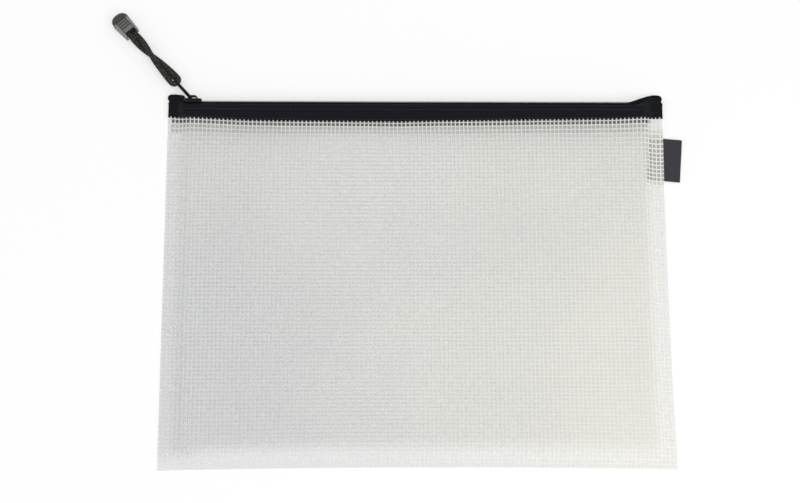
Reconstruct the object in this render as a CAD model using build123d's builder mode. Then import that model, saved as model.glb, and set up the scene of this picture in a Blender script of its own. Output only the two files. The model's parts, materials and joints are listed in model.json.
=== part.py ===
"""Zip document wallet for A4 sheets, lying on its back with the zip closed.

+X runs to the right along the zip, +Y from the bottom seam towards the zip, +Z up out of the surface that it
lies on. The origin is the centre of the resting face of the back panel. Millimetres.
"""

import os
from math import asin, atan2, cos, pi, radians, sin, tan

from build123d import *

os.makedirs("parts", exist_ok=True)

# Body: two sheets welded on three sides, the front one raised over the contents
BODY_WIDTH = 340.0
BODY_HEIGHT = 250.0
SHEET = 0.5
SEAM = 5.0
CLIMB = 12.0
SHEET_CORNER = 3.0
FIELD_CORNER = 14.0
FIELD_CREASE = 4.0
SEAT_GAP = 0.05

# Zip tapes, folded over the top edge and sewn on outside the sheets
ZIP_DEPTH = 9.9
TAPE = 0.6
TAPE_HALF_WIDTH = 15.5
TAPE_BEND = 1.3
JOGGLE_MARGIN = 1.0
JOGGLE_RUN = 4.0
LEFT_FOLD = 12.0
RIGHT_FOLD = 22.0
PINCHED_END = 6.0
END_MARGIN = 0.3
END_ROUND = 2.4
END_LIFT = 4.2
END_LEAN = 0.4

# Coil: loops side by side on a flat core, the two halves in mesh
COIL_WIDTH = 5.8
COIL_HEIGHT = 2.0
CORE_HEIGHT = 0.8
TOOTH_PITCH = 1.5
TOOTH_WIDTH = 0.65
TOOTH_REACH = 0.7
TOOTH_TIP_GAP = 0.2

# Slider, with its nose to the left
RUN_GAP = 0.3
NOSE = 5.6
TAIL = 5.4
NOSE_FLARE = 0.65
FLANGE = 0.8
TOP_PLATE = 0.9
BASE_PLATE = 1.1
PLATE_CORNER = 1.4
POST_WIDTH = 2.0
POST_LENGTH = 3.2
POST_SETBACK = 0.9
BAIL_WIDTH = 2.4
BAIL_LENGTH = 6.6
BAIL_SETBACK = 0.7
BAIL_WALL = 1.1
BAIL_CORNER = 2.3

# Puller: narrow wire loop standing on edge in the bail
WIRE = 1.6
WIRE_SIDES = 12
WIRE_CORNER = 1.7
PULLER_LENGTH = 18.0
PULLER_ANGLE = 132.0
PULLER_PLAY = 0.25

# Cord and grip
CORD = 3.8
CORD_SIDES = 10
CORD_GAP = 0.15
CORD_SIDE_GAP = 0.15
GRIP_MOUTH = 50.2
GRIP_LENGTH = 18.0
GRIP_WIDTH = 13.2
GRIP_TIP_WIDTH = 10.6
GRIP_THICK = 7.4
GRIP_ARM = 2.9
GRIP_ARM_WIDTH = 1.45
GRIP_EDGE = 0.9
GRIP_CROWN = 0.9
GRIP_FLOOR_GAP = 0.05
PAD_LENGTH = 9.9
PAD_WIDTH = 7.0
PAD_GROOVE = 0.6
PAD_GROOVE_DEPTH = 0.45
RIB = 0.7
RIB_STEP = 2.0
RIB_COUNT = 3

# Side label: folded strip caught in the right seam
LABEL_HEIGHT = 30.0
LABEL_OUT = 12.0
LABEL_IN = 10.0
LABEL_LAYER = 0.3
LABEL_LAYER_GAP = 0.1
LABEL_DROP = 39.5
LABEL_TILT = -5.0
LABEL_GAP = 0.05
LABEL_SLOT_MARGIN = 2.5

# Levels and edges that follow from those sizes
HALF_WIDTH = BODY_WIDTH / 2
HALF_HEIGHT = BODY_HEIGHT / 2
ZIP_Z = ZIP_DEPTH / 2
FOLD_Y = HALF_HEIGHT - COIL_HEIGHT - TAPE / 2
FIELD_Z = ZIP_DEPTH - TAPE - SEAT_GAP
TAPE_GAP = POST_WIDTH + 2 * RUN_GAP
BEND_MEAN = TAPE_BEND + TAPE / 2
TAPE_FLAT = ZIP_Z - TAPE / 2 - BEND_MEAN - TAPE_GAP / 2
TAPE_LEG = TAPE_HALF_WIDTH - TAPE_FLAT - BEND_MEAN * pi / 2
TAPE_LOW = FOLD_Y - BEND_MEAN - TAPE_LEG
PANEL_TOP = FOLD_Y - TAPE / 2 - BASE_PLATE - 2 * RUN_GAP
JOGGLE = TAPE + SEAT_GAP
JOGGLE_TOP = TAPE_LOW - JOGGLE_MARGIN
JOGGLE_FOOT = JOGGLE_TOP - JOGGLE_RUN
SEAM_TOP_Z = JOGGLE + 2 * SHEET
SLOPE_FOOT = HALF_WIDTH - SEAM
SLOPE_TOP = SLOPE_FOOT - CLIMB
FREE_LEFT = -HALF_WIDTH + LEFT_FOLD
FREE_RIGHT = HALF_WIDTH - RIGHT_FOLD
SLIDER_X = FREE_LEFT + NOSE + RUN_GAP


def sheet_layer(low, high, overrun):
    """Side view of a layer between two heights, stepping up where it lies over the rear tape."""
    bottom = -HALF_HEIGHT - overrun
    top = PANEL_TOP + overrun
    with BuildSketch(Plane.YZ) as layer:
        with BuildLine():
            Polyline(
                (bottom, low),
                (JOGGLE_FOOT, low),
                (JOGGLE_TOP, low + JOGGLE),
                (top, low + JOGGLE),
                (top, high + JOGGLE),
                (JOGGLE_TOP, high + JOGGLE),
                (JOGGLE_FOOT, high),
                (bottom, high),
                close=True,
            )
        make_face()
    return layer.sketch


def raised_field(inset, top):
    """Solid under the raised field of the front sheet, sloped on three sides and run on past its top edge.

    inset moves the slopes inwards and top is the height of the flat.
    """
    run = CLIMB / (FIELD_Z - SHEET)
    end = PANEL_TOP + SEAM
    with BuildPart() as field:
        for level in (-SHEET, top):
            shift = SEAM + inset + (level - SHEET) * run
            bottom = -HALF_HEIGHT + shift
            with BuildSketch(Plane.XY.offset(level)):
                with Locations((0, (bottom + end) / 2)):
                    Rectangle(BODY_WIDTH - 2 * shift, end - bottom)
        loft(ruled=True)
        sloped = field.edges().filter_by(Plane.XY, reverse=True)
        fillet(sloped.group_by(Axis.Y)[0], FIELD_CORNER - inset)
        crease = field.faces().sort_by(Axis.Z)[-1].edges().sort_by(Axis.Y)[:-1]
        fillet(crease, FIELD_CREASE - inset)
    return field.part


with BuildPart() as back_panel:
    extrude(sheet_layer(0, SHEET, 0), amount=HALF_WIDTH, both=True)
    fillet(back_panel.edges().filter_by(Axis.Z).group_by(Axis.Y)[0], SHEET_CORNER)
back_panel.part.label = "back_panel"
export_step(back_panel.part, "parts/back_panel.step")

LABEL_THICK = 2 * LABEL_LAYER + LABEL_LAYER_GAP
LABEL_Y = HALF_HEIGHT - LABEL_DROP
LABEL_SLOT = LABEL_HEIGHT + 2 * LABEL_SLOT_MARGIN
SLOT_TOP = SHEET + LABEL_THICK + 2 * LABEL_GAP
SLOPE_ANGLE = atan2(FIELD_Z - SHEET, CLIMB)

with BuildPart() as front_panel:
    extrude(sheet_layer(-SEAM, 2 * SHEET, 0), amount=HALF_WIDTH, both=True)
    fillet(front_panel.edges().filter_by(Axis.Z).group_by(Axis.Y)[0], SHEET_CORNER)
    add(raised_field(0, FIELD_Z))
    with BuildSketch(Plane.XY):
        with Locations((HALF_WIDTH, LABEL_Y)):
            Rectangle(SEAM + CLIMB / 2, LABEL_SLOT + 2 * SHEET, align=(Align.MAX, Align.CENTER))
    extrude(amount=SLOT_TOP + SHEET)
    add(raised_field(SHEET / sin(SLOPE_ANGLE), FIELD_Z - SHEET), mode=Mode.SUBTRACT)
    with BuildSketch(Plane.XY):
        with Locations((HALF_WIDTH + SEAM, LABEL_Y)):
            Rectangle(2 * SEAM + CLIMB, LABEL_SLOT, align=(Align.MAX, Align.CENTER))
    extrude(amount=SLOT_TOP, mode=Mode.SUBTRACT)
    extrude(sheet_layer(-2 * SEAM, SHEET, SEAM), amount=BODY_WIDTH, both=True, mode=Mode.SUBTRACT)
    split(bisect_by=Plane.XZ.offset(-PANEL_TOP), keep=Keep.TOP)
front_panel.part.label = "front_panel"
export_step(front_panel.part, "parts/front_panel.step")


def ease(start, end, x):
    """Smooth 0 to 1 as x goes from start to end."""
    t = min(max((x - start) / (end - start), 0.0), 1.0)
    return t * t * (3 - 2 * t)


def pinch(x):
    """How far the zip is squeezed shut and stood upright at x: 0 along the run, 1 at either end."""
    shut = HALF_WIDTH - PINCHED_END
    return ease(FREE_LEFT, -shut, x) + ease(FREE_RIGHT, shut, x)


def seat_height(x):
    """Height of the front sheet's outer face under the front tape at x."""
    share = min(max((abs(x) - SLOPE_TOP) / CLIMB, 0.0), 1.0)
    return FIELD_Z + (SEAM_TOP_Z - FIELD_Z) * share + SEAT_GAP


def blend(first, last, share):
    """Point between two points of a side view."""
    return tuple(a + (b - a) * share for a, b in zip(first, last))


def tape_section(x, front):
    """Cross-section of one folded tape half at x: flat top beside the coil, bend, then the sewn leg."""
    share = pinch(x)
    rounding = ease(HALF_WIDTH - END_ROUND, HALF_WIDTH, abs(x)) * END_ROUND
    inner_y = FOLD_Y - TAPE / 2
    low_y = TAPE_LOW + END_LIFT * share
    tip_y = TAPE_LOW + END_LIFT + TAPE_HALF_WIDTH - rounding
    if front:
        seat = seat_height(x)
        free = [(inner_y, ZIP_Z + TAPE_GAP / 2), (inner_y, ZIP_DEPTH - TAPE)]
        shut = [(tip_y, TAPE + SEAT_GAP), (PANEL_TOP + END_LEAN, seat)]
    else:
        seat = TAPE
        free = [(inner_y, ZIP_Z - TAPE_GAP / 2), (inner_y, TAPE)]
        shut = [(tip_y, TAPE + SEAT_GAP / 2), (PANEL_TOP + END_LEAN, TAPE - SEAT_GAP / 2)]
    edge = blend(free[0], shut[0], share)
    corner = blend(free[1], shut[1], share)
    with BuildSketch(Plane.YZ.offset(x)) as section:
        with BuildLine():
            line = FilletPolyline(edge, corner, (low_y, seat), radius=TAPE_BEND)
            offset(line, amount=TAPE, side=Side.RIGHT if front else Side.LEFT)
        make_face()
    return section.sketch


# Places along the zip where a tape's section changes: both ends, the front sheet's slopes and the stretches
# that are pinched shut
END_STATIONS = [HALF_WIDTH - END_MARGIN, HALF_WIDTH - END_ROUND, SLOPE_FOOT, SLOPE_TOP]
PINCH_STATIONS = [(FREE_LEFT - HALF_WIDTH + PINCHED_END) / 2, (FREE_RIGHT + HALF_WIDTH - PINCHED_END) / 2]
STATIONS = sorted([-x for x in END_STATIONS] + [FREE_LEFT, FREE_RIGHT] + PINCH_STATIONS + END_STATIONS)

with BuildPart() as front_tape:
    for station in STATIONS:
        add(tape_section(station, True))
    loft(ruled=True)
front_tape.part.label = "front_tape"
export_step(front_tape.part, "parts/front_tape.step")

with BuildPart() as rear_tape:
    for station in STATIONS:
        add(tape_section(station, False))
    loft(ruled=True)
rear_tape.part.label = "rear_tape"
export_step(rear_tape.part, "parts/rear_tape.step")

# Coil halves, on a plane along the zip whose normal points up out of the closed edge
TRACK = Plane(origin=(0, FOLD_Y, ZIP_Z), x_dir=(1, 0, 0), z_dir=(0, 1, 0))
COIL_START = SLIDER_X - NOSE + POST_SETBACK + POST_LENGTH + RUN_GAP
COIL_END = FREE_RIGHT
COIL_MIDDLE = (COIL_START + COIL_END) / 2
ROOT = TOOTH_REACH + TOOTH_TIP_GAP
TOOTH_COUNT = int((COIL_END - COIL_START - 2 * TOOTH_PITCH) / TOOTH_PITCH)


def coil_core(side):
    """Plan of the flat core sewn to one tape."""
    with BuildSketch(TRACK.offset(TAPE / 2)) as core:
        with Locations((COIL_MIDDLE, side * (ROOT + COIL_WIDTH / 2) / 2)):
            Rectangle(COIL_END - COIL_START, COIL_WIDTH / 2 - ROOT)
    return core.sketch


def coil_loops(side, lag):
    """Plan of the loops over one core, each reaching past the centre line between two of the other half."""
    with BuildSketch(TRACK.offset(TAPE / 2 + CORE_HEIGHT)) as loops:
        with Locations((COIL_MIDDLE + lag, side * (COIL_WIDTH / 2 - TOOTH_REACH) / 2)):
            with GridLocations(TOOTH_PITCH, 1, TOOTH_COUNT, 1):
                Rectangle(TOOTH_WIDTH, COIL_WIDTH / 2 + TOOTH_REACH)
    return loops.sketch


with BuildPart() as front_coil:
    extrude(coil_core(-1), amount=CORE_HEIGHT)
    extrude(coil_loops(-1, TOOTH_PITCH / 4), amount=COIL_HEIGHT - CORE_HEIGHT)
front_coil.part.label = "front_coil"
export_step(front_coil.part, "parts/front_coil.step")

with BuildPart() as rear_coil:
    extrude(coil_core(1), amount=CORE_HEIGHT)
    extrude(coil_loops(1, -TOOTH_PITCH / 4), amount=COIL_HEIGHT - CORE_HEIGHT)
rear_coil.part.label = "rear_coil"
export_step(rear_coil.part, "parts/rear_coil.step")

# Slider, on the same plane moved along the zip
CARRIAGE = Plane(origin=(SLIDER_X, FOLD_Y, ZIP_Z), x_dir=(1, 0, 0), z_dir=(0, 1, 0))
CHANNEL_TAIL = COIL_WIDTH / 2 + RUN_GAP
CHANNEL_NOSE = CHANNEL_TAIL + NOSE_FLARE
TAPE_FACE = TAPE / 2 + RUN_GAP
PLATE_UNDER = TAPE / 2 + COIL_HEIGHT + RUN_GAP
PLATE_TOP = PLATE_UNDER + TOP_PLATE
BASE_HALF = ZIP_Z - TAPE - RUN_GAP
BAIL_HOLE = WIRE + 2 * PULLER_PLAY
BAIL_TOP = PLATE_TOP + BAIL_HOLE + BAIL_WALL


with BuildPart() as slider_body:
    with BuildSketch(CARRIAGE.offset(-TAPE_FACE - BASE_PLATE)):
        with Locations(((TAIL - NOSE) / 2, 0)):
            RectangleRounded(NOSE + TAIL, 2 * BASE_HALF, PLATE_CORNER)
    extrude(amount=BASE_PLATE)
    chamfer(slider_body.edges().group_by(Axis.Y)[-1], TAPE_BEND - RUN_GAP)
    with BuildSketch(CARRIAGE.offset(TAPE_FACE)) as plan:
        with BuildLine():
            Polyline(
                (-NOSE, -CHANNEL_NOSE - FLANGE),
                (TAIL, -CHANNEL_TAIL - FLANGE),
                (TAIL, CHANNEL_TAIL + FLANGE),
                (-NOSE, CHANNEL_NOSE + FLANGE),
                close=True,
            )
        make_face()
        fillet(plan.vertices(), PLATE_CORNER)
    extrude(amount=PLATE_TOP - TAPE_FACE)
    with BuildSketch(CARRIAGE.offset(TAPE_FACE)):
        with BuildLine():
            Polyline(
                (-NOSE, -CHANNEL_NOSE),
                (TAIL, -CHANNEL_TAIL),
                (TAIL, CHANNEL_TAIL),
                (-NOSE, CHANNEL_NOSE),
                close=True,
            )
        make_face()
    extrude(amount=PLATE_UNDER - TAPE_FACE, mode=Mode.SUBTRACT)
    with BuildSketch(CARRIAGE.offset(-TAPE_FACE)):
        with Locations((-NOSE + POST_SETBACK + POST_LENGTH / 2, 0)):
            SlotOverall(POST_LENGTH, POST_WIDTH)
    extrude(amount=PLATE_UNDER + TAPE_FACE)
    with BuildSketch(Plane.XY.offset(ZIP_Z)) as bail:
        with Locations((SLIDER_X - BAIL_SETBACK, FOLD_Y + PLATE_TOP)):
            Rectangle(BAIL_LENGTH, BAIL_TOP - PLATE_TOP, align=(Align.CENTER, Align.MIN))
            fillet(bail.vertices().group_by(Axis.Y)[-1], BAIL_CORNER)
            Rectangle(
                BAIL_LENGTH - 2 * BAIL_WALL, BAIL_HOLE, align=(Align.CENTER, Align.MIN), mode=Mode.SUBTRACT
            )
    extrude(amount=BAIL_WIDTH / 2, both=True)
slider_body.part.label = "slider_body"
export_step(slider_body.part, "parts/slider_body.step")

# Puller, on a plane through the zip's depth that leans away to the left
HINGE = Vector(
    SLIDER_X - BAIL_SETBACK - BAIL_LENGTH / 2 + BAIL_WALL + PULLER_PLAY + WIRE / 2,
    FOLD_Y + PLATE_TOP + PULLER_PLAY + WIRE / 2,
    ZIP_Z,
)
REACH = Vector(cos(radians(PULLER_ANGLE)), sin(radians(PULLER_ANGLE)), 0)
ACROSS = Vector(REACH.Y, -REACH.X, 0)
LOOP_HALF = CORD / 2 + CORD_SIDE_GAP + WIRE / 2

with BuildPart() as puller_ring:
    with BuildLine(Plane(origin=HINGE, x_dir=REACH, z_dir=ACROSS)):
        wire_line = FilletPolyline(
            (0, -LOOP_HALF),
            (PULLER_LENGTH, -LOOP_HALF),
            (PULLER_LENGTH, LOOP_HALF),
            (0, LOOP_HALF),
            close=True,
            radius=WIRE_CORNER,
        )
    with BuildSketch(Plane(origin=wire_line @ 0, z_dir=wire_line % 0)):
        RegularPolygon(WIRE / 2, WIRE_SIDES)
    sweep(path=wire_line)
puller_ring.part.label = "puller_ring"
export_step(puller_ring.part, "parts/puller_ring.step")

# Cord: hooked round the ring's far end, the two legs turning half round each other on the way to the grip.
# The pull slopes down from the ring until the grip lies on the surface.
GRIP_TIP = GRIP_MOUTH - GRIP_ARM
GRIP_END = GRIP_TIP + GRIP_LENGTH
SLOPE = asin((ZIP_Z - GRIP_THICK / 2 - GRIP_FLOOR_GAP) / GRIP_END)
UP = Vector(0, 0, 1)
PULL = Plane(
    origin=HINGE + REACH * (PULLER_LENGTH - WIRE / 2 - CORD / 2 - CORD_GAP),
    x_dir=REACH * cos(SLOPE) - UP * sin(SLOPE),
    z_dir=REACH * sin(SLOPE) + UP * cos(SLOPE),
)
HOOK_HALF = WIRE / 2 + CORD / 2 + CORD_SIDE_GAP

# One leg from the hook to inside the grip: reach along the pull, turn about its axis in degrees, distance
# from that axis
LEG = [
    (6.0, 0, HOOK_HALF),
    (14.0, 10, 2.2),
    (21.5, 50, 2.2),
    (28.0, 90, 2.15),
    (34.0, 128, 2.2),
    (41.2, 170, 2.2),
    (48.6, 210, 2.0),
    (56.0, 210, 2.0),
]


def leg_points(half_turn):
    """Points of one leg, the second leg being the first turned by half a turn about the pull's axis."""
    points = [(0, HOOK_HALF * cos(half_turn), 0)]
    for reach, turn, away in LEG:
        angle = radians(turn) + half_turn
        points.append((reach, away * cos(angle), away * sin(angle)))
    return points


ROUTE = [PULL.from_local_coords(Vector(p)) for p in leg_points(0)[::-1] + leg_points(pi)]


def corner_radius(before, corner, after):
    """Largest arc that the two runs at a corner leave room for."""
    into = corner - before
    out = after - corner
    return 0.45 * min(into.length, out.length) / tan(radians(into.get_angle(out)) / 2)


CORD_RADII = [corner_radius(*ROUTE[i - 1 : i + 2]) for i in range(1, len(ROUTE) - 1)]

with BuildPart() as cord_loop:
    with BuildLine():
        cord_line = FilletPolyline(*ROUTE, radius=CORD_RADII)
    with BuildSketch(Plane(origin=cord_line @ 0, z_dir=cord_line % 0)) as cord_section:
        RegularPolygon(CORD / 2, CORD_SIDES)
    sweep(path=cord_line)
cord_loop.part.label = "cord_loop"
export_step(cord_loop.part, "parts/cord_loop.step")
tube_volume = cord_line.length * cord_section.sketch.area
print("cord radii", [round(r, 1) for r in CORD_RADII])
print("cord length", round(cord_line.length, 1))
print("cord volume over section times length", round(cord_loop.part.volume / tube_volume, 4))

# Grip: moulded over the cord ends, with two arms past the mouth and a grooved pad on each face
CORD_END, END_TURN, END_AWAY = LEG[-1]
SOCKET_X = END_AWAY * cos(radians(END_TURN))
SOCKET_Y = END_AWAY * sin(radians(END_TURN))
RIB_GROOVE = RIB_STEP - RIB
RIB_TOP = GRIP_MOUTH + PAD_LENGTH - RIB_GROOVE / 2

with BuildPart() as pull_grip:
    with BuildSketch(PULL.offset(-GRIP_THICK / 2)) as grip_plan:
        with BuildLine():
            Polyline(
                (GRIP_TIP, -GRIP_TIP_WIDTH / 2),
                (GRIP_END, -GRIP_WIDTH / 2),
                (GRIP_END, GRIP_WIDTH / 2),
                (GRIP_TIP, GRIP_TIP_WIDTH / 2),
                close=True,
            )
        make_face()
        fillet(grip_plan.vertices().group_by(Axis.X)[-1], GRIP_WIDTH / 2 - GRIP_CROWN)
    extrude(amount=GRIP_THICK)
    grip_faces = pull_grip.faces().sort_by(Axis(PULL.origin, PULL.z_dir))
    chamfer(grip_faces[0].edges() + grip_faces[-1].edges(), GRIP_EDGE)
    with BuildSketch(PULL.offset(-GRIP_THICK)):
        with Locations((GRIP_TIP, 0)):
            Rectangle(2 * GRIP_ARM, GRIP_TIP_WIDTH - 2 * GRIP_ARM_WIDTH)
    extrude(amount=2 * GRIP_THICK, mode=Mode.SUBTRACT)
    for face in (1, -1):
        with BuildSketch(PULL.offset(face * (GRIP_THICK / 2 - PAD_GROOVE_DEPTH))):
            with Locations((GRIP_MOUTH + PAD_LENGTH / 2, 0)):
                with GridLocations(1, PAD_WIDTH + PAD_GROOVE, 1, 2):
                    Rectangle(PAD_LENGTH, PAD_GROOVE)
            for rib in range(RIB_COUNT + 1):
                with Locations((RIB_TOP - rib * RIB_STEP, 0)):
                    Rectangle(RIB_GROOVE, PAD_WIDTH + PAD_GROOVE)
        extrude(amount=face * GRIP_THICK, mode=Mode.SUBTRACT)
    mouth = PULL.from_local_coords(Vector(GRIP_MOUTH, 0, 0))
    with BuildSketch(Plane(origin=mouth, x_dir=PULL.y_dir, z_dir=PULL.x_dir)):
        with Locations((SOCKET_X, SOCKET_Y), (-SOCKET_X, -SOCKET_Y)):
            Circle(CORD / 2 + SEAT_GAP)
    extrude(amount=CORD_END - GRIP_MOUTH, mode=Mode.SUBTRACT)
pull_grip.part.label = "pull_grip"
export_step(pull_grip.part, "parts/pull_grip.step")

# Side label: strip folded at its outer end, both ends inside the seam
TILT = radians(LABEL_TILT)
LABEL_PLANE = Plane(
    origin=(HALF_WIDTH, LABEL_Y, SHEET + LABEL_GAP),
    x_dir=(cos(TILT), sin(TILT), 0),
    z_dir=(sin(TILT), -cos(TILT), 0),
)

with BuildPart() as side_label:
    with BuildSketch(LABEL_PLANE) as fold:
        with Locations((-LABEL_IN, 0)):
            Rectangle(LABEL_IN + LABEL_OUT, LABEL_THICK, align=Align.MIN)
        fillet(fold.vertices().group_by(Axis.X)[-1], LABEL_LAYER)
        with Locations((-LABEL_IN, LABEL_LAYER)):
            Rectangle(
                LABEL_IN + LABEL_OUT - LABEL_LAYER, LABEL_LAYER_GAP, align=Align.MIN, mode=Mode.SUBTRACT
            )
    extrude(amount=LABEL_HEIGHT / 2, both=True)
side_label.part.label = "side_label"
export_step(side_label.part, "parts/side_label.step")
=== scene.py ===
"""Looks of the zip document wallet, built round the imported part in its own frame, in metres."""

import json
import logging
import math
from collections.abc import Callable, Iterator
from contextlib import contextmanager
from dataclasses import dataclass
from enum import Enum

import bpy
import numpy as np
from bpy.types import ID, Material, Node, NodeSocket, NodeTree, Object
from mathutils import Matrix, Vector

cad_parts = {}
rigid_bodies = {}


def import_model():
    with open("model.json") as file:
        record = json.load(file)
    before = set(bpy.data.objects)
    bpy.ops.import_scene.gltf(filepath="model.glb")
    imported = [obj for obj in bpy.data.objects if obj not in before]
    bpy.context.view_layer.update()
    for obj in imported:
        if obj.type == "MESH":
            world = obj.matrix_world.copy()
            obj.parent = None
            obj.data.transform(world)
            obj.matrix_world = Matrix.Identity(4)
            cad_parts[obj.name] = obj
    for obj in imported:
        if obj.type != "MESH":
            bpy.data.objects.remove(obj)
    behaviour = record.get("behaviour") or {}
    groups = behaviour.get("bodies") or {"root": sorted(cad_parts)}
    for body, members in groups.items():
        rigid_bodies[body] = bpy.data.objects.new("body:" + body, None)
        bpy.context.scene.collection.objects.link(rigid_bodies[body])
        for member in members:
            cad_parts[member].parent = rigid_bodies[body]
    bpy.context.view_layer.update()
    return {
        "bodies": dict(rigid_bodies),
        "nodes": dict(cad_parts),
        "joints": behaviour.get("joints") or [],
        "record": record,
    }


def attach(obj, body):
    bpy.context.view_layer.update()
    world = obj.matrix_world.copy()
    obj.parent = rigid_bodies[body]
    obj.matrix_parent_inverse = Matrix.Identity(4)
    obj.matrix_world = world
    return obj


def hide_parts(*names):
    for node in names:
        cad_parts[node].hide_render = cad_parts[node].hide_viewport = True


LOG = logging.getLogger("wallet")
MM = 0.001


class Face(Enum):
    """The two sides of the wallet: the front lies uppermost, the rear on the floor."""

    FRONT = "front"
    REAR = "rear"


class Run(Enum):
    """Direction of a set of yarns: along the zip, or from the bottom seam to the zip."""

    ALONG = "along"
    ACROSS = "across"


def linear(code: str) -> tuple[float, float, float, float]:
    """Turns an sRGB hex colour into linear light.

    Args:
        code: Colour such as "#D4D5D3".

    Returns:
        Linear red, green and blue, with an alpha of 1.
    """
    parts = [int(code[i : i + 2], 16) / 255 for i in (1, 3, 5)]
    light = [p / 12.92 if p <= 0.04045 else ((p + 0.055) / 1.055) ** 2.4 for p in parts]
    return (*light, 1.0)


def add_node(tree: NodeTree, kind: str, inputs: dict | None = None, **settings) -> Node:
    """Adds a node with its settings, and fills or links its inputs.

    Args:
        tree: Node tree that gets the node.
        kind: Node type, such as "ShaderNodeTexNoise".
        inputs: Value or output socket for each input, by name or place.
        **settings: Properties of the node.

    Returns:
        The new node.
    """
    made = tree.nodes.new(kind)
    for name, value in settings.items():
        setattr(made, name, value)
    for key, value in (inputs or {}).items():
        if isinstance(value, NodeSocket):
            tree.links.new(value, made.inputs[key])
        else:
            made.inputs[key].default_value = value
    return made


def new_material(name: str) -> tuple[Material, NodeTree]:
    """Makes an empty node material.

    Args:
        name: Name of the material.

    Returns:
        The material and its cleared node tree.
    """
    material = bpy.data.materials.new(name)
    material.use_nodes = True
    material.node_tree.nodes.clear()
    return material, material.node_tree


def close_material(tree: NodeTree, surface: NodeSocket) -> None:
    """Links a shader to the material's output."""
    add_node(tree, "ShaderNodeOutputMaterial", {"Surface": surface})


def coordinates(tree: NodeTree, kind: str) -> NodeSocket:
    """Texture coordinates of a kind, such as "Object" or "UV"."""
    return add_node(tree, "ShaderNodeTexCoord").outputs[kind]


def attribute(tree: NodeTree, name: str) -> NodeSocket:
    """Share that is written on the vertices of the mesh."""
    return add_node(tree, "ShaderNodeAttribute", attribute_name=name).outputs["Fac"]


def noise(tree: NodeTree, place: NodeSocket, size: float, detail: float = 3.0) -> NodeSocket:
    """Noise whose grains are about a length in metres."""
    inputs = {"Vector": place, "Scale": 1 / size, "Detail": detail}
    return add_node(tree, "ShaderNodeTexNoise", inputs).outputs["Fac"]


def bands(
    tree: NodeTree,
    place: NodeSocket,
    period: float,
    direction: str,
    wobble: float,
    detail_scale: float = 1.0,
) -> NodeSocket:
    """Soft bands that repeat after a length.

    Args:
        tree: Node tree of the finish.
        place: Coordinates in metres.
        period: Length of one repeat.
        direction: Axis that the bands follow one another along.
        wobble: How far they stray.
        detail_scale: Scale of the straying.

    Returns:
        Socket with the height of the bands, 0 to 1.
    """
    inputs = {
        "Vector": place,
        "Scale": math.pi / (10 * period),
        "Distortion": wobble,
        "Detail Scale": detail_scale,
    }
    return add_node(tree, "ShaderNodeTexWave", inputs, bands_direction=direction).outputs["Fac"]


def maths(tree: NodeTree, operation: str, *values: NodeSocket | float, clamp: bool = False) -> NodeSocket:
    """Result of a maths node with a number or a socket for each input."""
    inputs = dict(enumerate(values))
    return add_node(tree, "ShaderNodeMath", inputs, operation=operation, use_clamp=clamp).outputs[0]


def ramp(
    tree: NodeTree, value: NodeSocket, start: float, stop: float, low: float = 0.0, high: float = 1.0
) -> NodeSocket:
    """Straight ramp from low, where the value is at start, to high, where it is at stop."""
    return add_node(tree, "ShaderNodeMapRange", {0: value, 1: start, 2: stop, 3: low, 4: high}).outputs[0]


def blend(tree: NodeTree, share: NodeSocket, low: NodeSocket | float, high: float) -> NodeSocket:
    """Mixes two numbers."""
    return add_node(tree, "ShaderNodeMix", {0: share, 2: low, 3: high}).outputs[0]


def tint(tree: NodeTree, share: NodeSocket, low: NodeSocket | str, high: str) -> NodeSocket:
    """Mixes two colours, of which the first is a code or another mix."""
    start = linear(low) if isinstance(low, str) else low
    inputs = {"Factor": share, 6: start, 7: linear(high)}
    return add_node(tree, "ShaderNodeMix", inputs, data_type="RGBA").outputs[2]


def bumps(tree: NodeTree, height: NodeSocket, strength: float, distance: float) -> NodeSocket:
    """Normal that a fine relief turns."""
    return add_node(
        tree, "ShaderNodeBump", {"Height": height, "Strength": strength, "Distance": distance}
    ).outputs[0]


def close_surface(tree: NodeTree, inputs: dict) -> None:
    """Adds the surface with its inputs and links it to the material's output."""
    close_material(tree, add_node(tree, "ShaderNodeBsdfPrincipled", inputs).outputs[0])


def smooth(low: float, high: float, value: np.ndarray) -> np.ndarray:
    """Smooth step from 0 at low to 1 at high.

    Args:
        low: Where the step starts.
        high: Where it ends.
        value: Positions.

    Returns:
        Share of the step at each position.
    """
    t = np.clip((value - low) / (high - low), 0.0, 1.0)
    return t * t * (3 - 2 * t)


def select_only(piece: Object) -> None:
    """Deselects everything and makes one object selected and active."""
    bpy.ops.object.select_all(action="DESELECT")
    piece.select_set(True)
    bpy.context.view_layer.objects.active = piece


def apply_modifier(piece: Object, kind: str, **settings) -> None:
    """Adds a modifier to a piece and applies it.

    Args:
        piece: Object that gets it.
        kind: Modifier type, such as "SOLIDIFY".
        **settings: Properties of the modifier.
    """
    select_only(piece)
    modifier = piece.modifiers.new(kind.title(), kind)
    for name, value in settings.items():
        setattr(modifier, name, value)
    bpy.ops.object.modifier_apply(modifier=modifier.name)


def points_of(piece: Object) -> np.ndarray:
    """Vertex positions of a mesh piece, as rows."""
    flat = np.zeros(len(piece.data.vertices) * 3)
    piece.data.vertices.foreach_get("co", flat)
    return flat.reshape(-1, 3)


def set_points(piece: Object, points: np.ndarray) -> None:
    """Writes vertex positions back to a mesh piece."""
    piece.data.vertices.foreach_set("co", points.astype(np.float32).ravel())
    piece.data.update()


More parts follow.
